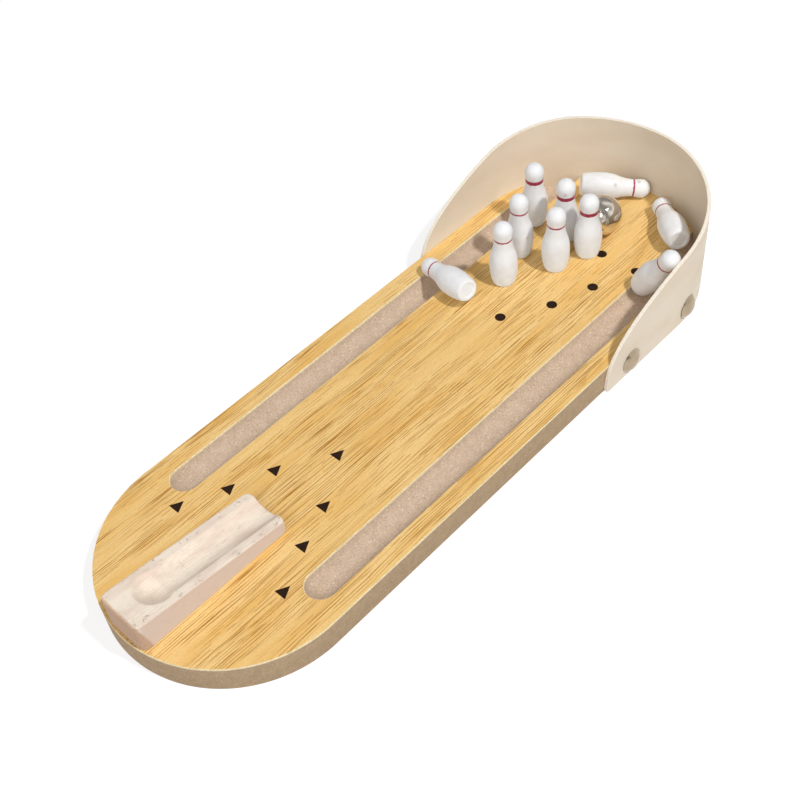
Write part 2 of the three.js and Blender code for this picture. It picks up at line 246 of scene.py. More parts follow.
# %% World
WORLD_FILL = 0.27
BACKDROP_TOP = 0.08
ROOM_START = 0.3
ROOM_DARK = 0.3

world = bpy.data.worlds.new("studio")
scene.world = world
world.use_nodes = True
sky = world.node_tree
sky.nodes.clear()
sky_way = add_node(sky, "TexCoord").outputs["Generated"]
sky_height = add_node(sky, "SeparateXYZ", {0: sky_way}).outputs["Z"]
room_dim = fade(sky, noise(sky, sky_way, 1.3, 1), 0.38, 0.66, ROOM_DARK - 1, 0.0)
room_share = fade(sky, sky_height, BACKDROP_TOP, ROOM_START)
room_glow = sum_up(sky, "MULTIPLY_ADD", room_share, room_dim, 1.0)
sky_path = add_node(sky, "LightPath").outputs
sky_glow = add_node(sky, "Mix", {0: sky_path["Is Camera Ray"], 2: room_glow, 3: 1.0}).outputs[0]
seen_gain = sum_up(sky, "SUBTRACT", sky_glow, WORLD_FILL)
strength = sum_up(sky, "MULTIPLY_ADD", seen_directly(sky), seen_gain, WORLD_FILL)
backdrop = add_node(sky, "Background", {"Color": (1, 1, 1, 1), "Strength": strength})
add_node(sky, "OutputWorld", {"Surface": backdrop.outputs[0]})
print("world fill:", WORLD_FILL)

# %% Floor
FLOOR_HALF = 3.0
FLOOR_DROP = 0.1 * MM
FLOOR_GREY = (0.34, 0.34, 0.34, 1)
FLOOR_GLOW = 0.76
FLOOR_BOUNCE = 0.32
FLOOR_FADE_START = 0.45
FLOOR_FADE_END = 0.9

floor_shape = bmesh.new()
bmesh.ops.create_grid(floor_shape, x_segments=2, y_segments=2, size=FLOOR_HALF)
move(floor_shape, (0, 0, -FLOOR_DROP))
floor = object_from(floor_shape, "floor")

floor_finish = bpy.data.materials.new("floor_white")
floor_finish.use_nodes = True
ground = floor_finish.node_tree
ground.nodes.clear()
ground_place = add_node(ground, "TexCoord").outputs["Object"]
reach = add_node(ground, "VectorMath", {0: ground_place}, operation="LENGTH")
far_off = fade(ground, reach.outputs["Value"], FLOOR_FADE_START, FLOOR_FADE_END)
ground_rough = fade(ground, noise(ground, ground_place, 30), 0.3, 0.7, 0.85, 0.95)
matt = add_node(ground, "BsdfPrincipled", {"Base Color": FLOOR_GREY, "Roughness": ground_rough,
                                           "Specular IOR Level": 0.0})
ground_seen = seen_directly(ground)
near_glow = sum_up(ground, "MULTIPLY_ADD", ground_seen, FLOOR_GLOW - FLOOR_BOUNCE, FLOOR_BOUNCE)
near_light = add_node(ground, "Emission", {"Strength": near_glow})
lit = add_node(ground, "AddShader", {0: matt.outputs[0], 1: near_light.outputs[0]})
far_light = add_node(ground, "Emission", {"Strength": ground_seen})
far_share = times(ground, far_off, ground_seen)
ground_mix = add_node(ground, "MixShader",
                      {0: far_share, 1: lit.outputs[0], 2: far_light.outputs[0]})
add_node(ground, "OutputMaterial", {"Surface": ground_mix.outputs[0]})
floor.data.materials.append(floor_finish)

# %% [markdown]
# ## Shared effects
# Four effects turn up on more than one finish: long wood grain, the fleck of pressed
# fibre, the smudges and fine scratches of handling, and small dark pits. Each could be
# copied into every material, but as a node group it is built once and every material
# gives it its own coordinates, so wood, print and paint stay related.

# %% Group helpers
def start_group(label, *numbers):
    """A node group, and the place and the named numbers that it takes."""
    group = bpy.data.node_groups.new(label, "ShaderNodeTree")
    group.interface.new_socket(name="Vector", in_out="INPUT", socket_type="NodeSocketVector")
    for name in numbers:
        group.interface.new_socket(name=name, in_out="INPUT", socket_type="NodeSocketFloat")
    taken = group.nodes.new("NodeGroupInput").outputs
    return (group, *(taken[name] for name in ("Vector", *numbers)))


def end_group(group, results):
    """Give a node group its named results."""
    for name in results:
        group.interface.new_socket(name=name, in_out="OUTPUT", socket_type="NodeSocketFloat")
    end = group.nodes.new("NodeGroupOutput")
    for name, result in results.items():
        group.links.new(result, end.inputs[name])


def use_group(tree, group, place, **numbers):
    """Put a group into a material."""
    return add_node(tree, "Group", {"Vector": place, **numbers}, node_tree=group).outputs


# %% Grain that sways
grain, straight = start_group("long_grain")
sway = noise(grain, straight, (0.014, 0.05, 0.05), 1)
push = add_node(grain, "VectorMath", {0: (0, 4, 0), "Scale": sway}, operation="SCALE")
swayed = add_node(grain, "VectorMath", {0: straight, 1: push.outputs[0]}).outputs[0]


def grain_noise(along, across, shift=(0, 0, 0), detail=1):
    """Noise drawn out along the grain."""
    return noise(grain, swayed, (along, across, across), detail, shift=shift)


across_grain = add_node(grain, "SeparateXYZ", {0: swayed}).outputs["Y"]
ring_place = sum_up(grain, "MULTIPLY_ADD", grain_noise(0.006, 0.09), 4, across_grain)

# %% Long grain
def broken_lines(half_pitch, start, end, breaks, cut):
    """Lines along the grain, kept where another noise is over the cut."""
    wave = sum_up(grain, "PINGPONG", ring_place, half_pitch)
    kept = fade(grain, breaks, cut - 0.02, cut + 0.02)
    return times(grain, fade(grain, wave, start, end), kept)


ring_lines = broken_lines(0.5, 0.375, 0.42, grain_noise(0.04, 1.1), 0.49)
streaks = fade(grain, grain_noise(0.035, 2.5, (3, 8, 5)), 0.61, 0.64)
grain_lines = sum_up(grain, "MAXIMUM", ring_lines, streaks)
line_gate = fade(grain, grain_noise(0.011, 0.14), 0.4, 0.56, 0.15, 1.0)
hair_lines = broken_lines(0.68, 0.52, 0.57, grain_noise(0.12, 1.7, (7, 1, 4)), 0.5)
hair_gate = fade(grain, grain_noise(0.02, 0.09, (5, 2, 9)), 0.4, 0.54)
bands = fade(grain, grain_noise(0.02, 0.16, detail=2), 0.35, 0.72)
end_group(grain, {"Lines": times(grain, grain_lines, line_gate),
                  "Hairs": times(grain, hair_lines, hair_gate), "Bands": bands})

# %% Fibre fleck
fibre, fibre_place = start_group("fibre_fleck")
light_fleck = noise(fibre, fibre_place, 1.25, 4, 0.7)
dark_fleck = noise(fibre, stretch(fibre, fibre_place, shift=(17, 5, 3)), 1.6, 4, 0.75)
mottle = noise(fibre, fibre_place, 0.22, 3, 0.6)
end_group(fibre, {"Light": fade(fibre, light_fleck, 0.54, 0.64),
                  "Dark": fade(fibre, dark_fleck, 0.55, 0.66),
                  "Mottle": fade(fibre, mottle, 0.3, 0.7)})

# %% Handling
handling, touch_place = start_group("handling")
smudge = noise(handling, touch_place, 0.12, 4, 0.6, 0.4)
scratch_one = noise(handling, touch_place, (0.06, 2.6, 2.6), 1, turn=(0, 0, 0.5))
scratch_two = noise(handling, touch_place, (2.2, 0.05, 2.2), 1, turn=(0, 0, 0.3))
scratch = sum_up(handling, "MAXIMUM", scratch_one, scratch_two)
end_group(handling, {"Smudges": fade(handling, smudge, 0.42, 0.7),
                     "Scratches": fade(handling, scratch, 0.68, 0.78)})

# %% Small pits
pits, pit_place, spacing = start_group("small_pits", "Spacing")
warp = noise(pits, pit_place, 1.4, 1)
warped = add_node(pits, "VectorMath", {0: pit_place, 1: warp}).outputs[0]
pit_cell = add_node(pits, "TexVoronoi", {"Vector": warped, "Scale": spacing}).outputs
pit_choice = add_node(pits, "SeparateColor", {"Color": pit_cell["Color"]}).outputs[0]
pit_spot = fade(pits, pit_cell["Distance"], 0.05, 0.14, 1.0, 0.0)
end_group(pits, {"Pits": times(pits, pit_spot, fade(pits, pit_choice, 0.62, 0.66))})
print("shared groups:", [group.name for group in bpy.data.node_groups])

# %% [markdown]
# ## Finishes
# Each material is one Principled shader. What is the same all over the surface is typed
# straight on its sockets, and only colour, roughness and bump come from nodes. Colours
# are written as they look on screen in plain light.

# %% Finish helpers
def start_finish(label, constants):
    """A material with one Principled shader, whose constants sit on its own sockets."""
    finish = bpy.data.materials.new(label)
    finish.use_nodes = True
    tree = finish.node_tree
    tree.nodes.clear()
    shader = add_node(tree, "BsdfPrincipled", constants)
    add_node(tree, "OutputMaterial", {"Surface": shader.outputs[0]})
    return finish, tree, shader


def dress(tree, shader, colour, rough, height, depth, strength):
    """Give a shader its colour, roughness and bump, whose depth is in metres."""
    inputs = {"Height": height, "Distance": depth, "Strength": strength}
    tree.links.new(colour, shader.inputs["Base Color"])
    tree.links.new(rough, shader.inputs["Roughness"])
    tree.links.new(add_node(tree, "Bump", inputs).outputs[0], shader.inputs["Normal"])


def make_plain(label, gloss, cloud, step, colours, rough, depth, strength):
    """A finish that is only a fine cloud of two colours."""
    finish, tree, shader = start_finish(label, {"Specular IOR Level": gloss})
    tone = noise(tree, place_in_mm(tree), *cloud)
    colour = blend(tree, fade(tree, tone, *step), *colours)
    dress(tree, shader, colour, fade(tree, tone, 0.3, 0.7, *rough), tone, depth, strength)
    return finish


# %% [markdown]
# ### Printed oak
# The lane is a thin sheet printed with an oak pattern: honey ground with fine specks,
# thin brown lines that run along the lane and break off, shorter hairlines, and slow
# lighter and darker bands. It could be a picture, but a pattern in nodes stays sharp from
# any distance. For light that bounces off it the print is painted paler, a painted
# bounce light that keeps the white pins beside it white. Where the sheet is cut its pale
# core shows, in a fine cloud of two tones.

# %% Printed oak
OAK_GROUND = srgb(248, 209, 139)
OAK_DEEP = srgb(240, 192, 112)
OAK_LINE = srgb(174, 120, 42)
OAK_SPECK = srgb(218, 166, 86)
OAK_SPILL = srgb(226, 215, 194)
OAK_SCUFF = srgb(246, 222, 176)

printed_oak, oak, oak_shader = start_finish("printed_oak", {"Specular IOR Level": 0.35})
oak_place = place_in_mm(oak)
oak_grain = use_group(oak, grain, oak_place)
oak_smudges = use_group(oak, handling, oak_place)["Smudges"]
oak_tone = blend(oak, oak_grain["Bands"], OAK_GROUND, OAK_DEEP)
oak_specks = fade(oak, noise(oak, oak_place, (1.92, 2.4, 2.4)), 0.5, 0.72, 0.0, 0.5)
oak_tone = blend(oak, oak_specks, oak_tone, OAK_SPECK)
oak_hairs = times(oak, oak_grain["Hairs"], 0.8)
oak_dark = sum_up(oak, "MAXIMUM", oak_hairs, times(oak, oak_grain["Lines"], 0.95))
oak_tone = blend(oak, oak_dark, oak_tone, OAK_LINE)
oak_tone = blend(oak, times(oak, oak_smudges, 0.05), oak_tone, OAK_SCUFF)
# Painted bounce light: rays that bounce off the lane see a paler colour than the print.
oak_path = add_node(oak, "LightPath").outputs
oak_tone = blend(oak, times(oak, oak_path["Is Diffuse Ray"], 0.9), oak_tone, OAK_SPILL)
oak_rough = sum_up(oak, "MULTIPLY_ADD", oak_smudges, 0.14, 0.46)
dress(oak, oak_shader, oak_tone, oak_rough, times(oak, oak_dark, -1.0), 0.02 * MM, 0.5)

# %% Cut edge of the printed sheet
print_edge = make_plain("print_edge", 0.3, (1.3, 3), (0.35, 0.7),
                        (srgb(250, 238, 200), srgb(232, 208, 158)), (0.55, 0.75),
                        0.03 * MM, 1.0)

# %% [markdown]
# ### Raw fibreboard
# Routed and sawn fibreboard is a felt of wood fibres: pinkish tan, with pale and dark
# flecks under half a millimetre. The router leaves the gutters clean, while the sawn
# rim is browner, so the same recipe makes both with other colours.

# %% Raw fibreboard
def make_fibreboard(label, ground, pale, dark, fineness, depth):
    """Pressed fibre with light and dark flecks."""
    finish, tree, shader = start_finish(label, {"Specular IOR Level": 0.2})
    place = stretch(tree, place_in_mm(tree), (fineness, fineness, fineness))
    fleck = use_group(tree, fibre, place)
    tone = blend(tree, times(tree, fleck["Mottle"], 0.2), ground, dark)
    tone = blend(tree, times(tree, fleck["Light"], 0.8), tone, pale)
    tone = blend(tree, times(tree, fleck["Dark"], 0.8), tone, dark)
    rough = fade(tree, fleck["Mottle"], 0, 1, 0.78, 0.94)
    relief = sum_up(tree, "SUBTRACT", fleck["Light"], fleck["Dark"])
    dress(tree, shader, tone, rough, relief, depth, 0.7)
    return finish


routed_board = make_fibreboard("routed_board", srgb(210, 186, 163), srgb(237, 219, 198),
                               srgb(150, 121, 94), 1.2, 0.05 * MM)
sawn_board = make_fibreboard("sawn_board", srgb(196, 168, 135), srgb(224, 203, 174),
                             srgb(140, 111, 82), 1.7, 0.08 * MM)

# %% [markdown]
# ### Cream veneer
# The backstop is bent plywood or veneer, cream, almost even, with faint fibres along the
# sheet. Its fibres follow the bend, so this finish reads the unrolled sheet in a UV map
# and not the place in the room. The cut edge is painted paler all round, a painted
# highlight for its top edge, which faces the light, and it is clouded where layers end.

# %% Cream veneer
VENEER_GROUND = srgb(240, 225, 204)
VENEER_WARM = srgb(232, 214, 188)
VENEER_FIBRE = srgb(214, 193, 164)

cream_veneer, ply, ply_shader = start_finish("cream_veneer", {"Specular IOR Level": 0.35})
ply_sheet = add_node(ply, "UVMap", uv_map="flat_sheet").outputs[0]
ply_place = stretch(ply, ply_sheet, (1 / MM, 1 / MM, 1))
ply_cloud = noise(ply, ply_place, (0.03, 0.08, 1), 3)
ply_fibre = noise(ply, ply_place, (0.22, 3.4, 1))
ply_tone = blend(ply, fade(ply, ply_cloud, 0.35, 0.7, 0.0, 0.6), VENEER_GROUND, VENEER_WARM)
ply_lines = fade(ply, ply_fibre, 0.55, 0.78, 0.0, 0.22)
ply_tone = blend(ply, ply_lines, ply_tone, VENEER_FIBRE)
ply_specks = fade(ply, noise(ply, ply_place, 1.1, 3), 0.6, 0.8, 0.0, 0.4)
ply_tone = blend(ply, ply_specks, ply_tone, VENEER_WARM)
ply_rough = fade(ply, ply_cloud, 0.3, 0.7, 0.46, 0.62)
dress(ply, ply_shader, ply_tone, ply_rough, ply_fibre, 0.02 * MM, 0.6)

# %% Cut edge of the veneer
# The paler of the two tones is painted highlight, for the edge's top that catches the light.
veneer_rim_painted_highlight = make_plain("veneer_rim_painted_highlight", 0.3, (2.2, 3, 0.6), (0.45, 0.75),
                        (srgb(252, 243, 228), srgb(226, 206, 178)), (0.55, 0.72),
                        0.04 * MM, 0.6)

# %% [markdown]
# ### Bright metals
# The tacks are plated and the ball is polished steel. Both are mirrors, so what they
# show is mostly the room; a little uneven roughness, a few scratches and a grey tint on
# the ball keep them from looking like glass. The tacks' tan tint is a painted reflection
# of a brownish table below them.

# %% Plated tacks and polished steel
def make_bright_metal(label, ground, worn):
    """A mirror with handling marks."""
    finish, tree, shader = start_finish(label, {"Metallic": 1.0})
    place = place_in_mm(tree)
    scratches = use_group(tree, handling, stretch(tree, place, (3, 3, 3)))["Scratches"]
    cloud = noise(tree, place, 0.3, 3)
    colour = blend(tree, fade(tree, cloud, 0.35, 0.7, 0.0, 0.5), ground, worn)
    rough = fade(tree, cloud, 0.3, 0.75, 0.06, 0.12)
    rough = sum_up(tree, "MULTIPLY_ADD", scratches, 0.18, rough)
    dress(tree, shader, colour, rough, scratches, -0.01 * MM, 0.4)
    return finish


# The tacks' tan colour is a painted reflection: it turns the white floor that they mirror brown.
tack_chrome = make_bright_metal("tack_chrome", srgb(180, 163, 139), srgb(154, 136, 112))
polished_steel = make_bright_metal("polished_steel", srgb(222, 214, 202), srgb(198, 189, 176))

# %% [markdown]
# ### Pale beech
# The ramp is cut from pale wood: nearly white, with faint long grain, small dark pits
# and short tears, most of them on the lands beside the groove. Its upright sides are
# painted a little darker and pinker than its top, as painted shade. Its player's end
# is end grain, browner and rougher, and that brown spreads further near the foot as
# painted shade.

# %% Pale beech
BEECH_PALE = srgb(250, 236, 217)
BEECH_ROSE = srgb(236, 214, 197)
BEECH_SIDE_PAINTED_SHADE = srgb(229, 205, 188)
BEECH_PORE = srgb(128, 104, 88)
BEECH_END = srgb(208, 172, 143)
BEECH_END_DARK = srgb(160, 120, 90)

pale_beech, wood, wood_shader = start_finish("pale_beech", {"Specular IOR Level": 0.25})
wood_place = place_in_mm(wood)
wood_axes = add_node(wood, "SeparateXYZ", {0: wood_place}).outputs
wood_turned = stretch(wood, wood_place, (1, 1, 1), (0, 0, 0.04), (31, 7, 3))
wood_lines = use_group(wood, grain, wood_turned)["Lines"]
wood_cloud = noise(wood, wood_place, (0.05, 0.16, 0.16), 3)
wood_tone = blend(wood, fade(wood, wood_cloud, 0.38, 0.68), BEECH_PALE, BEECH_ROSE)
wood_tone = blend(wood, times(wood, wood_lines, 0.14), wood_tone, BEECH_PORE)

# %% Pits and tears of the ramp
LAND_START = 6.2
LAND_END = 7.6
SIDE_START = 0.4
SIDE_END = 0.08

ramp_low, ramp_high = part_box("launch_ramp")
ramp_middle = (ramp_low.y + ramp_high.y) / 2
ramp_half = (ramp_high.y - ramp_low.y) / 2 / MM
wood_side = sum_up(wood, "SUBTRACT", wood_axes["Y"], ramp_middle / MM)
wood_across = sum_up(wood, "ABSOLUTE", wood_side)
on_side = (ramp_half - SIDE_START, ramp_half - SIDE_END)
pitted = stretch(wood, wood_place, (0.45, 1.0, 1.0), (0, 0, 0.5))
wood_pits = use_group(wood, pits, pitted, Spacing=0.5)["Pits"]
tear = noise(wood, wood_place, (0.8, 1.0, 1.0))
tear = sum_up(wood, "ABSOLUTE", sum_up(wood, "SUBTRACT", tear, 0.5))
tear_patch = noise(wood, wood_place, (0.45, 0.5, 0.5), 1, shift=(9, 4, 2))
tear = times(wood, fade(wood, tear, 0.008, 0.03, 1.0, 0.0), fade(wood, tear_patch, 0.6, 0.66))
wood_marks = sum_up(wood, "MAXIMUM", wood_pits, tear)
wood_marks = times(wood, wood_marks, fade(wood, wood_across, LAND_START, LAND_END, 0.25, 1.0))
wood_marks = times(wood, wood_marks, fade(wood, wood_across, *on_side, 1.0, 0.2))
# The upright sides get a darker, pinker tone: painted shade, since they get less light than the
# top.
wood_tone = blend(wood, fade(wood, wood_across, *on_side), wood_tone, BEECH_SIDE_PAINTED_SHADE)
wood_tone = blend(wood, times(wood, wood_marks, 0.85), wood_tone, BEECH_PORE)

# %% End grain of the ramp, and painted shade near its foot
END_GRAIN_DEPTH = 1.2
END_SHADE_LEAN = 0.25

# The end grain is brown. The lean spreads that brown further round the near corners towards the
# foot, as painted shade.
end_start = (ramp_low.x + END_SHADE_LEAN * ramp_high.z) / MM
end_edge = sum_up(wood, "MULTIPLY_ADD", noise(wood, wood_place, 0.4), -0.5, wood_axes["X"])
end_edge = sum_up(wood, "MULTIPLY_ADD", wood_axes["Z"], END_SHADE_LEAN, end_edge)
end_grain_and_shade = fade(wood, end_edge, end_start, end_start + END_GRAIN_DEPTH, 1.0, 0.0)
end_fleck = use_group(wood, fibre, wood_place)["Dark"]
end_tone = blend(wood, end_fleck, BEECH_END, BEECH_END_DARK)
wood_tone = blend(wood, end_grain_and_shade, wood_tone, end_tone)
wood_rough = fade(wood, wood_cloud, 0.3, 0.7, 0.6, 0.78)
wood_fibre = noise(wood, wood_place, (0.3, 3.0, 3.0), 3)
wood_relief = sum_up(wood, "MULTIPLY_ADD", wood_marks, -2.5, wood_fibre)
dress(wood, wood_shader, wood_tone, wood_rough, wood_relief, 0.05 * MM, 0.7)

# %% [markdown]
# ### Pin paint
# The pins are turned in wood and dipped in white paint, with one crimson line round the
# neck, put on by a brush while the pin turned. The line follows the pin and not the
# room, so each pin carries an attribute with the height up its own axis. Three of the
# pins have a broader line than the others.

# %% Pin paint
PAINT_WHITE = srgb(246, 246, 247)
PAINT_SHADE = srgb(240, 239, 239)
PAINT_CRIMSON = srgb(164, 34, 68)
PAINT_CHIP = srgb(150, 138, 128)
BAND_MIDDLE = 23.15
BAND_SOFTNESS = 0.1
THIN_BAND = 0.8
BROAD_BAND = 1.8


def make_pin_paint(label, band_width):
    """White paint with a crimson line of the given width, in millimetres."""
    constants = {"Specular IOR Level": 0.4, "Coat Weight": 0.12, "Coat Roughness": 0.25}
    finish, tree, shader = start_finish(label, constants)
    place = place_in_mm(tree)
    up_pin = add_node(tree, "Attribute", attribute_name="up_pin").outputs["Fac"]
    cloud = noise(tree, place, 0.35, 3)
    tone = blend(tree, fade(tree, cloud, 0.35, 0.75), PAINT_WHITE, PAINT_SHADE)
    chips = use_group(tree, pits, place, Spacing=0.11)["Pits"]
    tone = blend(tree, times(tree, chips, 0.35), tone, PAINT_CHIP)
    height = sum_up(tree, "MULTIPLY_ADD", noise(tree, place, 0.7), 0.5, up_pin)
    away = sum_up(tree, "ABSOLUTE", sum_up(tree, "SUBTRACT", height, BAND_MIDDLE))
    edges = (band_width / 2 - BAND_SOFTNESS, band_width / 2 + BAND_SOFTNESS)
    thin = fade(tree, noise(tree, place, 1.5), 0.2, 0.5, 0.8, 1.0)
    band = times(tree, fade(tree, away, *edges, 1.0, 0.0), thin)
    tone = blend(tree, band, tone, PAINT_CRIMSON)
    brush = noise(tree, place, 1.1, 3, 0.6)
    dress(tree, shader, tone, fade(tree, cloud, 0.3, 0.75, 0.34, 0.5), brush, 0.06 * MM, 0.35)
    return finish


thin_band_paint = make_pin_paint("thin_band_paint", THIN_BAND)
broad_band_paint = make_pin_paint("broad_band_paint", BROAD_BAND)

# %% [markdown]
# ### Black ink
# The marks on the lane are printed in matt black ink, worn a little brown in places.

# %% Black ink
black_ink = make_plain("black_ink", 0.12, (1.6, 3, 0.6), (0.45, 0.75),
                       (srgb(38, 22, 14), srgb(60, 40, 26)), (0.6, 0.75), 0.01 * MM, 0.4)
print("finishes:", len(bpy.data.materials))

# %% [markdown]
# ## Piece helpers
# A piece is shaped as a bmesh, then becomes an object that rides on its body, takes the
# place of its solids of the imported model, which are hidden, and gets its finishes. Cuts
# are made with Boolean modifiers whose result is kept, because a hollow milled by a
# ball-nosed cutter is exactly what a Boolean difference gives.

# %% Piece helpers
PLATE_CREASE = math.radians(20)
ROUND_CREASE = math.radians(40)


def kept_shape(piece, leftovers=()):
    """The bmesh of an object with its modifiers applied; the object itself goes."""
    view = bpy.context.evaluated_depsgraph_get()
    mesh = bpy.data.meshes.new_from_object(piece.evaluated_get(view))
    shape = bmesh.new()
    shape.from_mesh(mesh)
    bpy.data.meshes.remove(mesh)
    for old in (piece, *leftovers):
        bpy.data.meshes.remove(old.data)
    return shape


def cut_away(shape, knives):
    """Subtract every knife from a shape."""
    blank = object_from(shape, "blank")
    tools = [object_from(knife, "knife") for knife in knives]
    for tool in tools:
        cut = blank.modifiers.new("cut", "BOOLEAN")
        cut.operation = "DIFFERENCE"
        cut.solver = "EXACT"
        cut.object = tool
    return kept_shape(blank, tools)


def finish_piece(label, shape, body, nodes, finishes, crease=PLATE_CREASE):
    """Make the object, give it its finishes and hide the solids that it replaces."""
    piece = object_from(shape, label)
    for finish in finishes:
        piece.data.materials.append(finish)
    for face in piece.data.polygons:
        face.use_smooth = True
    piece.data.set_sharp_from_angle(angle=crease)
    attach(piece, body)
    if nodes:
        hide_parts(*nodes)
    print(label, "faces:", len(piece.data.polygons))


# %% [markdown]
# ## Board core
# The board is cut from one fibreboard sheet to a long shape with half-round ends. The
# quickest way to draw that is a circle whose two halves are pulled apart. Its two
# gutters are milled by a ball-nosed cutter that starts near the player and runs out
# through the far rim, and the lower rim is eased.

# %% Board sizes
BOARD_RADIUS = 50 * MM
LANE_RUN = 197 * MM
CORE_THICKNESS = 12 * MM
PRINT_THICKNESS = 0.8 * MM
LANE_TOP = CORE_THICKNESS + PRINT_THICKNESS
GUTTER_WIDTH = 12.2 * MM
GUTTER_DEPTH = 5.2 * MM
GUTTER_OFFSET = 36 * MM
GUTTER_NEAR_INSET = 52 * MM
NEAR_X = -LANE_RUN / 2 - BOARD_RADIUS
REAR_X = LANE_RUN / 2
PAST_RIM = 8 * MM

gutter_radius = ((GUTTER_WIDTH / 2) ** 2 + GUTTER_DEPTH ** 2) / (2 * GUTTER_DEPTH)
gutter_axis_height = LANE_TOP - GUTTER_DEPTH + gutter_radius
gutter_start_x = NEAR_X + GUTTER_NEAR_INSET + GUTTER_WIDTH / 2
gutter_end_x = REAR_X + BOARD_RADIUS + PAST_RIM
print("gutter radius:", round(gutter_radius / MM, 3), "mm")

# %% Slabs and gutter cutters
RIM_STEPS = 192
BALL_STEPS = 72


def pull_apart(shape, distance):
    """Move the half of a shape beyond x = 0 along +X."""
    far_half = [point for point in shape.verts if point.co.x > 0]
    bmesh.ops.translate(shape, verts=far_half, vec=(distance, 0, 0))


def make_slab(low, high):
    """The board's outline as a slab between two heights."""
    shape = bmesh.new()
    turn = Matrix.Rotation(math.pi / RIM_STEPS, 4, "Z")
    bmesh.ops.create_circle(shape, cap_ends=True, segments=RIM_STEPS, radius=BOARD_RADIUS,
                            matrix=turn)
    pull_apart(shape, LANE_RUN)
    move(shape, (-LANE_RUN / 2, 0, low))
    thicken(shape, (0, 0, high - low))
    return shape


def make_cutter(radius, length, steps):
    """A ball pulled out along +X, as a ball-nosed cutter leaves its path."""
    shape = bmesh.new()
    turn = Matrix.Rotation(math.pi / 2, 4, "Y")
    bmesh.ops.create_uvsphere(shape, u_segments=steps, v_segments=steps * 2 // 3 + 1,
                              radius=radius, matrix=turn)
    pull_apart(shape, length)
    return shape


def make_gutter_cutters():
    """The paths of the cutter in both gutters."""
    cutters = []
    for offset in (GUTTER_OFFSET, -GUTTER_OFFSET):
        cutter = make_cutter(gutter_radius, gutter_end_x - gutter_start_x, BALL_STEPS)
        move(cutter, (gutter_start_x, offset, gutter_axis_height))
        cutters.append(cutter)
    return cutters


# %% [markdown]
# ## Where the sheet runs
# The backstop and its tacks share one rule: a point of the flat sheet, given by how far
# it lies along the sheet, how far outward and how high, goes to its place round the
# board. Writing that rule once bends the sheet, places the tacks and drills their holes.

# %% Path of the bent sheet
SHEET_THICKNESS = 1.5 * MM
SHEET_GAP = 0.1 * MM
ARM_RUN = 48.8 * MM
LEFT_ARM_RUN = 44.8 * MM
sheet_mid_radius = BOARD_RADIUS + SHEET_GAP + SHEET_THICKNESS / 2
sheet_arc_run = math.pi * sheet_mid_radius
sheet_rear_run = ARM_RUN + sheet_arc_run / 2
sheet_run = ARM_RUN + sheet_arc_run + LEFT_ARM_RUN


def round_the_board(run, outward, height):
    """Place of a point of the flat sheet once it is bent, and the way outward there."""
    along_arc = min(max(run - ARM_RUN, 0), sheet_arc_run)
    angle = along_arc / sheet_mid_radius - math.pi / 2
    straight = run - along_arc
    beyond = max(0, straight - ARM_RUN)
    centre_x = REAR_X - ARM_RUN + min(straight, ARM_RUN) - beyond
    out = Vector((math.cos(angle), math.sin(angle), 0))
    place = Vector((centre_x, 0, height)) + out * (sheet_mid_radius + outward)
    return place, out


# %% Tack stations and their pilot holes
TACK_FRONT_RUN = 15.6 * MM
TACK_PITCH_RUN = 39 * MM
TACK_HEIGHT = 6.4 * MM
TACK_SHANK_RADIUS = 0.8 * MM
TACK_SHANK_LENGTH = 10 * MM
HOLE_CLEARANCE = 0.2 * MM
HOLE_STEPS = 32

second_run = TACK_FRONT_RUN + TACK_PITCH_RUN
tack_runs = (TACK_FRONT_RUN, second_run, sheet_rear_run, sheet_run - second_run,
             sheet_run - TACK_FRONT_RUN)
tack_stations = [round_the_board(run, SHEET_THICKNESS / 2, TACK_HEIGHT) for run in tack_runs]
drill_radius = TACK_SHANK_RADIUS + HOLE_CLEARANCE
drill_run = 2 * (TACK_SHANK_LENGTH + HOLE_CLEARANCE)


def make_drills():
    """One drill through the middle of every tack's seat."""
    drills = []
    for place, out in tack_stations:
        shape = bmesh.new()
        bmesh.ops.create_cone(shape, cap_ends=True, segments=HOLE_STEPS, radius1=drill_radius,
                              radius2=drill_radius, depth=drill_run,
                              matrix=Matrix.Translation(place) @ facing(out))
        drills.append(shape)
    return drills


# %% Board core
UNDER_BEVEL = 0.5 * MM
RIM_DEPTH = 1 * MM

core_shape = make_slab(0, CORE_THICKNESS)
under_rim = [edge for edge in core_shape.edges if max(v.co.z for v in edge.verts) < TINY]
ease(core_shape, under_rim, UNDER_BEVEL, 3)
core_shape = cut_away(core_shape, make_gutter_cutters() + make_drills())
for face in core_shape.faces:
    middle = face.calc_center_median()
    past = max(abs(middle.x) - REAR_X, 0)
    on_rim = math.hypot(past, middle.y) > BOARD_RADIUS - RIM_DEPTH
    face.material_index = 1 if on_rim else 0
finish_piece("fibreboard_core", core_shape, "board", ["board_core"],
             [routed_board, sawn_board])

# %% [markdown]
# ## Printed lane
# The printed sheet lies on the core and is milled with it, so it has the same outline
# and gutters. Where the cutter passed it shows its pale core as a thin line, which a
# small bevel with the cut-edge finish gives.

# %% Printed lane
PRINT_BEVEL = 0.16 * MM
LEVEL_NORMAL = 0.99

print_shape = cut_away(make_slab(CORE_THICKNESS, LANE_TOP), make_gutter_cutters())
print_rim = []
for edge in print_shape.edges:
    on_top = min(point.co.z for point in edge.verts) > LANE_TOP - TINY
    if on_top and edge.calc_face_angle(0) > PLATE_CREASE:
        print_rim.append(edge)
ease(print_shape, print_rim, PRINT_BEVEL, 2)
for face in print_shape.faces:
    face.material_index = 0 if face.normal.z > LEVEL_NORMAL else 1
finish_piece("printed_lane", print_shape, "board", ["lane_laminate"],
             [printed_oak, print_edge])

# %% [markdown]
# ## Printed marks
# Ten black spots show where the pins stand, and seven small arrows near the ramp show
# the line of play. They are ink, so each mark is a skin a few hundredths of a
# millimetre thick. Spots are circles, and an arrow is a three-sided circle with its
# corners eased.

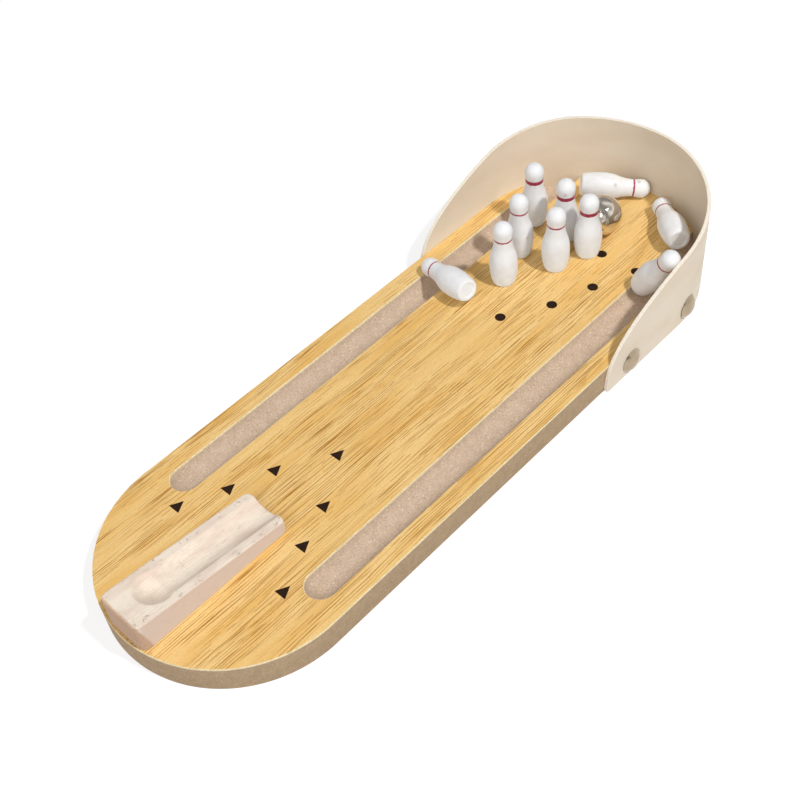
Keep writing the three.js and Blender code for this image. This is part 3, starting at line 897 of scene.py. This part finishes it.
# %% Printed marks
INK_THICKNESS = 0.03 * MM
SPOT_RADIUS = 2.2 * MM
SPOT_STEPS = 40
HEAD_SPOT_X = 46.8 * MM
SPOT_ROW_PITCH = 18.6 * MM
SPOT_SIDE_PITCH = 17.7 * MM
SPOT_ROWS = ((0,), (0.66, -0.66), (1.03, 0, -1.03), (1.5, 0.5, -0.5, -1.5))
ARROW_LENGTH = 4.9 * MM
ARROW_WIDTH = 5.3 * MM
ARROW_EASE = 0.25 * MM
ARROW_RANKS = ((-102.7 * MM, 28.3 * MM), (-85.2 * MM, 19.75 * MM), (-68.3 * MM, 13.0 * MM),
               (-48.2 * MM, 0))

spots_shape = bmesh.new()
for row, shares in enumerate(SPOT_ROWS):
    for share in shares:
        place = (HEAD_SPOT_X + row * SPOT_ROW_PITCH, share * SPOT_SIDE_PITCH, LANE_TOP)
        bmesh.ops.create_circle(spots_shape, cap_ends=True, segments=SPOT_STEPS,
                                radius=SPOT_RADIUS, matrix=Matrix.Translation(place))
thicken(spots_shape, (0, 0, INK_THICKNESS))
finish_piece("pin_spots", spots_shape, "board", [], [black_ink])

arrows_shape = bmesh.new()
for base_x, offset in ARROW_RANKS:
    for side in sorted({offset, -offset}):
        made = bmesh.ops.create_circle(arrows_shape, cap_ends=True, segments=3, radius=1)
        points = sorted(made["verts"], key=lambda point: point.co.y)
        points[0].co = (base_x, side - ARROW_WIDTH / 2, LANE_TOP)
        points[1].co = (base_x, side + ARROW_WIDTH / 2, LANE_TOP)
        points[2].co = (base_x + ARROW_LENGTH, side, LANE_TOP)
ease(arrows_shape, arrows_shape.verts[:], ARROW_EASE, 3, "VERTICES")
thicken(arrows_shape, (0, 0, INK_THICKNESS))
finish_piece("aim_arrows", arrows_shape, "board", [], [black_ink])

# %% [markdown]
# ## Backstop
# The backstop is one thin sheet. Flat, its top edge climbs from each front corner as a
# quarter of a squared-off ellipse and is level at the rear. The left arm is shorter and
# its edge climbs faster, as on the real one. It is built as its maker builds it: cut
# flat, given its thickness, its rim eased, and then bent round the board. The flat
# state is kept in a UV map for the grain.

# %% Flat outline of the sheet
SHEET_HEIGHT = 44.6 * MM
SWEEP_RUN = 0.92 * sheet_rear_run
LEFT_SWEEP_RUN = 0.71 * (sheet_run - sheet_rear_run)
SWEEP_RUN_POWER = 1.63
SWEEP_HEIGHT_POWER = 2.7
SHEET_NOSE = 2.4 * MM


def sheet_top(run):
    """Height of the flat sheet's top edge."""
    right_short = 1 - run / SWEEP_RUN
    left_short = 1 - (sheet_run - run) / LEFT_SWEEP_RUN
    short = max(right_short, left_short, 0)
    return SHEET_HEIGHT * (1 - short ** SWEEP_RUN_POWER) ** (1 / SWEEP_HEIGHT_POWER)


def sheet_foot(run):
    """Height of its bottom edge, which turns up at the front corners."""
    from_front = min(run, sheet_run - run)
    short = max(0.0, 1 - math.sqrt(from_front / SHEET_NOSE))
    return SHEET_NOSE * short ** 2


# %% Columns of the sheet
NOSE_STEPS = 8
SWEEP_STEPS = 84
LEVEL_STEPS = 24


def arm_columns(sweep_run):
    """Where the columns of one arm stand, from the front corner to the end of its sweep."""
    first_short = 1 - (SHEET_NOSE / SHEET_HEIGHT) ** SWEEP_HEIGHT_POWER
    first_run = sweep_run * (1 - first_short ** (1 / SWEEP_RUN_POWER))
    runs = [SHEET_NOSE * (step / NOSE_STEPS) ** 2 for step in range(NOSE_STEPS)]
    runs = [max(run, first_run) for run in runs if run == 0 or run > first_run]
    climb = sweep_run - SHEET_NOSE
    return runs + [SHEET_NOSE + climb * step / SWEEP_STEPS for step in range(SWEEP_STEPS)]


level_run = sheet_run - LEFT_SWEEP_RUN - SWEEP_RUN
column_runs = arm_columns(SWEEP_RUN)
column_runs += [SWEEP_RUN + level_run * step / LEVEL_STEPS for step in range(LEVEL_STEPS + 1)]
column_runs += [sheet_run - run for run in reversed(arm_columns(LEFT_SWEEP_RUN))]
last_column = len(column_runs) - 1
print("sheet columns:", len(column_runs), "length:", round(sheet_run / MM, 1), "mm")

# %% Sheet cut, thickened and eased
SHEET_BEVEL = 0.22 * MM
SHARP_ANGLE = math.radians(60)

sheet_shape = bmesh.new()
bmesh.ops.create_grid(sheet_shape, x_segments=last_column, y_segments=1, size=1)
for point in sheet_shape.verts:
    column = round((point.co.x + 1) / 2 * last_column)
    run = column_runs[column]
    height = sheet_top(run) if point.co.y > 0 else sheet_foot(run)
    if column in (0, last_column):
        height = SHEET_NOSE
    point.co = (run, SHEET_THICKNESS / 2, height)
bmesh.ops.remove_doubles(sheet_shape, verts=sheet_shape.verts, dist=WELD)
thicken(sheet_shape, (0, -SHEET_THICKNESS, 0))
sheet_rim = [edge for edge in sheet_shape.edges if edge.calc_face_angle(0) > SHARP_ANGLE]
ease(sheet_shape, sheet_rim, SHEET_BEVEL, 2)
for face in sheet_shape.faces:
    face.material_index = 0 if abs(face.normal.y) > 0.5 else 1

# %% Sheet unrolled in a UV map, then bent and drilled
flat_map = sheet_shape.loops.layers.uv.new("flat_sheet")
for face in sheet_shape.faces:
    for corner in face.loops:
        corner[flat_map].uv = (corner.vert.co.x, corner.vert.co.z)
for point in sheet_shape.verts:
    point.co = round_the_board(*point.co)[0]
bmesh.ops.recalc_face_normals(sheet_shape, faces=sheet_shape.faces)
finish_piece("bent_backstop", cut_away(sheet_shape, make_drills()), "board",
             ["backstop_sheet"], [cream_veneer, veneer_rim_painted_highlight])

# %% [markdown]
# ## Dome tacks
# A dome tack is a thin pressed cap on a pointed shank. Both are round about one axis, so
# half of the outline is drawn once and spun. The cap is hollow and stands a hair off the
# sheet, which gives the fine dark line round the real one.

# %% Turned shapes
def arc(radius, centre, start, end, steps):
    """Points on a circle about the axis, between two angles from its top."""
    angles = [start + (end - start) * step / steps for step in range(steps + 1)]
    return [(radius * math.sin(angle), centre + radius * math.cos(angle)) for angle in angles]


def spin_outline(outline, steps):
    """Spin a half outline of (radius, height) pairs round the Z axis."""
    shape = bmesh.new()
    points = [shape.verts.new((radius, 0, height)) for radius, height in outline]
    for start, end in zip(points, points[1:]):
        shape.edges.new((start, end))
    bmesh.ops.spin(shape, geom=shape.verts[:] + shape.edges[:], cent=(0, 0, 0),
                   axis=(0, 0, 1), angle=2 * math.pi, steps=steps, use_merge=True)
    bmesh.ops.remove_doubles(shape, verts=shape.verts, dist=WELD)
    bmesh.ops.recalc_face_normals(shape, faces=shape.faces)
    return shape


# %% Dome tacks
TACK_HEAD_RADIUS = 5.4 * MM
TACK_HEAD_RISE = 2.4 * MM
TACK_HEAD_WALL = 0.6 * MM
TACK_POINT_LENGTH = 2 * MM
TACK_SEAT_GAP = 0.15 * MM
DOME_STEPS = 16
TACK_SPIN_STEPS = 64

dome = (TACK_HEAD_RADIUS ** 2 + TACK_HEAD_RISE ** 2) / (2 * TACK_HEAD_RISE)
dome_centre = TACK_HEAD_RISE - dome
hollow = dome - TACK_HEAD_WALL
shank_angle = math.asin(TACK_SHANK_RADIUS / hollow)
tack_outline = [(0, -TACK_SHANK_LENGTH), (TACK_SHANK_RADIUS, TACK_POINT_LENGTH - TACK_SHANK_LENGTH)]
tack_outline += arc(hollow, dome_centre, shank_angle, math.acos(-dome_centre / hollow), DOME_STEPS)
tack_outline += arc(dome, dome_centre, math.acos(-dome_centre / dome), 0, DOME_STEPS)

for number, (place, out) in enumerate(tack_stations, 1):
    tack_shape = spin_outline(tack_outline, TACK_SPIN_STEPS)
    seat = Matrix.Translation(place + out * TACK_SEAT_GAP) @ facing(out)
    bmesh.ops.transform(tack_shape, matrix=seat, verts=tack_shape.verts)
    finish_piece(f"tack_{number}", tack_shape, "board", [f"dome_tack_{number}"],
                 [tack_chrome], ROUND_CREASE)

# %% [markdown]
# ## Launch ramp
# The ramp is a sawn wedge with rounded corners. A wide shallow groove runs down it and
# starts in a bowl, where the ball waits. After the milling the whole piece was sanded,
# which softened every edge. A bevel on such crossing hollows is fiddly, so the shape is
# remeshed finely and smoothed a little, as sanding does.

# %% Ramp blank
RAMP_LENGTH = 65.3 * MM
RAMP_NEAR_HEIGHT = 14 * MM
RAMP_FAR_HEIGHT = 5.8 * MM
RAMP_NEAR_CORNER = 3.2 * MM
RAMP_FAR_CORNER = 2.2 * MM

ramp_blank = bmesh.new()
bmesh.ops.create_cube(ramp_blank, size=1)
move(ramp_blank, (0.5, 0.5, 0.5))
bmesh.ops.scale(ramp_blank, verts=ramp_blank.verts, vec=ramp_high - ramp_low)
move(ramp_blank, ramp_low)
for point in ramp_blank.verts:
    if point.co.z > ramp_low.z + MM:
        at_near = point.co.x < ramp_low.x + MM
        point.co.z = ramp_low.z + (RAMP_NEAR_HEIGHT if at_near else RAMP_FAR_HEIGHT)
for end_x, corner, steps in ((ramp_low.x, RAMP_NEAR_CORNER, 10),
                             (ramp_high.x, RAMP_FAR_CORNER, 8)):
    upright = []
    for edge in ramp_blank.edges:
        low, high = sorted(point.co.z for point in edge.verts)
        here = all(abs(point.co.x - end_x) < TINY for point in edge.verts)
        if here and high - low > MM:
            upright.append(edge)
    ease(ramp_blank, upright, corner, steps)

# %% Ramp groove and bowl
GROOVE_RADIUS = 9.4 * MM
GROOVE_DEPTH = 2.6 * MM
BOWL_INSET = 15.3 * MM
BOWL_DEPTH = 3.3 * MM
GROOVE_STEPS = 96

ramp_fall = math.atan2(RAMP_NEAR_HEIGHT - RAMP_FAR_HEIGHT, RAMP_LENGTH)
ramp_corner = Vector((ramp_low.x, ramp_middle, ramp_low.z + RAMP_NEAR_HEIGHT))
on_slope = Matrix.Translation(ramp_corner) @ Matrix.Rotation(ramp_fall, 4, "Y")
ramp_cutters = []
for depth, length in ((GROOVE_DEPTH, RAMP_LENGTH), (BOWL_DEPTH, 0)):
    cutter = make_cutter(GROOVE_RADIUS, length, GROOVE_STEPS)
    sunk = on_slope @ Matrix.Translation((BOWL_INSET, 0, GROOVE_RADIUS - depth))
    bmesh.ops.transform(cutter, matrix=sunk, verts=cutter.verts)
    ramp_cutters.append(cutter)
ramp_shape = cut_away(ramp_blank, ramp_cutters)
print("ramp falls:", round(math.degrees(ramp_fall), 1), "degrees")

# %% Ramp sanded
SAND_GRAIN = 0.3 * MM
SAND_PASSES = 5

sanded = object_from(ramp_shape, "sanded")
remesh = sanded.modifiers.new("remesh", "REMESH")
remesh.mode = "VOXEL"
remesh.voxel_size = SAND_GRAIN
ramp_shape = kept_shape(sanded)
for sand_pass in range(SAND_PASSES):
    bmesh.ops.smooth_vert(ramp_shape, verts=ramp_shape.verts, factor=0.5, use_axis_x=True,
                          use_axis_y=True, use_axis_z=True)
finish_piece("beech_ramp", ramp_shape, "ramp", ["launch_ramp"],
             [pale_beech], SHARP_ANGLE)

# %% [markdown]
# ## Pins
# A pin is turned on a lathe: a foot with a shallow recess, belly, neck and round head.
# Its outline is three smooth curves and a quarter circle, spun round its axis. Each pin
# goes to the place and lean of its solid, standing or fallen, which is read from the
# solid's own points: a turned shape is longest along its axis, and its foot is the wider
# end.

# %% Pin outline
PIN_HEIGHT = 30.5 * MM
PIN_BASE_RADIUS = 4.2 * MM
PIN_BELLY_RADIUS = 5.9 * MM
PIN_BELLY_HEIGHT = 9.5 * MM
PIN_NECK_RADIUS = 3.75 * MM
PIN_NECK_HEIGHT = 23 * MM
PIN_HEAD_RADIUS = 4.05 * MM
PIN_FOOT_RECESS = 0.35 * MM
PIN_FOOT_RIM = 0.9 * MM
CURVE_STEPS = 12


def bezier(start, pull_start, pull_end, end, steps):
    """Points on a cubic curve, without its first."""
    corners = np.array((start, pull_start, pull_end, end))
    points = []
    for step in range(1, steps + 1):
        share = step / steps
        rest = 1 - share
        weights = (rest ** 3, 3 * rest ** 2 * share, 3 * rest * share ** 2, share ** 3)
        points.append(weights @ corners)
    return points


def turned_curve(start, end, steps):
    """A curve between two heights that leaves and arrives along the axis."""
    rise = (end[1] - start[1]) / 2
    return bezier(start, (start[0], start[1] + rise), (end[0], end[1] - rise), end, steps)


head_centre = PIN_HEIGHT - PIN_HEAD_RADIUS
foot = (PIN_BASE_RADIUS, 0)
belly = (PIN_BELLY_RADIUS, PIN_BELLY_HEIGHT)
neck = (PIN_NECK_RADIUS, PIN_NECK_HEIGHT)
recess = PIN_BASE_RADIUS - PIN_FOOT_RIM
pin_outline = [(0, PIN_FOOT_RECESS), (recess - PIN_FOOT_RECESS, PIN_FOOT_RECESS), (recess, 0), foot]
pin_outline += bezier(foot, ((PIN_BASE_RADIUS + PIN_BELLY_RADIUS) / 2, 0),
                      (PIN_BELLY_RADIUS, PIN_BELLY_HEIGHT / 2), belly, CURVE_STEPS)
pin_outline += turned_curve(belly, neck, CURVE_STEPS)
pin_outline += turned_curve(neck, (PIN_HEAD_RADIUS, head_centre), CURVE_STEPS // 2)
pin_outline += arc(PIN_HEAD_RADIUS, head_centre, math.pi / 2, 0, CURVE_STEPS)[1:]
print("points on half a pin's outline:", len(pin_outline))

# %% Place and lean of a pin's solid
END_SLICE = 0.5 * MM


def pin_pose(node):
    """The matrix that takes an upright pin at the origin to a solid's place."""
    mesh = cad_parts[node].data
    places = np.empty(3 * len(mesh.vertices))
    mesh.vertices.foreach_get("co", places)
    places = np.unique(places.reshape(-1, 3).round(7), axis=0)
    middle = places.mean(axis=0)
    axis = np.linalg.eigh(np.cov((places - middle).T))[1][:, 2]
    along = (places - middle) @ axis
    away = np.linalg.norm(places - middle - np.outer(along, axis), axis=1)
    low_end = away[along < along.min() + END_SLICE].mean()
    high_end = away[along > along.max() - END_SLICE].mean()
    if high_end > low_end:
        axis = -axis
        along = -along
    low_point = Vector(middle + axis * along.min())
    return Matrix.Translation(low_point) @ facing(Vector(axis))


# %% Pins
PIN_COUNT = 10
PIN_SPIN_STEPS = 56
BROAD_BAND_PINS = (7, 8, 9)

for number in range(1, PIN_COUNT + 1):
    node = f"pin_{number}"
    pin_shape = spin_outline(pin_outline, PIN_SPIN_STEPS)
    up_pin = pin_shape.verts.layers.float.new("up_pin")
    for point in pin_shape.verts:
        point[up_pin] = point.co.z / MM
    pose = pin_pose(node)
    bmesh.ops.transform(pin_shape, matrix=pose, verts=pin_shape.verts)
    paint = broad_band_paint if number in BROAD_BAND_PINS else thin_band_paint
    finish_piece(f"turned_pin_{number}", pin_shape, f"{node}_body", [node],
                 [paint], ROUND_CREASE)
    print(node, "stands at", [round(value / MM, 1) for value in pose.translation])

# %% [markdown]
# ## Ball
# The ball is polished steel. A ball made from rings has a pinched pole at each end,
# which a mirror finish shows. So it starts as a cube, is divided evenly and every
# point is pushed out to the same distance, which has no poles.

# %% Ball
BALL_CUTS = 39

ball_low, ball_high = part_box("steel_ball")
ball_radius = (ball_high.z - ball_low.z) / 2
ball_shape = bmesh.new()
bmesh.ops.create_cube(ball_shape, size=1)
bmesh.ops.subdivide_edges(ball_shape, edges=ball_shape.edges[:], cuts=BALL_CUTS,
                          use_grid_fill=True)
for point in ball_shape.verts:
    spread = [math.tan(part * math.pi / 2) for part in point.co]
    point.co = Vector(spread).normalized() * ball_radius
move(ball_shape, (ball_low + ball_high) / 2)
finish_piece("polished_ball", ball_shape, "ball", ["steel_ball"],
             [polished_steel], ROUND_CREASE)
print("ball diameter:", round(2 * ball_radius / MM, 2), "mm")
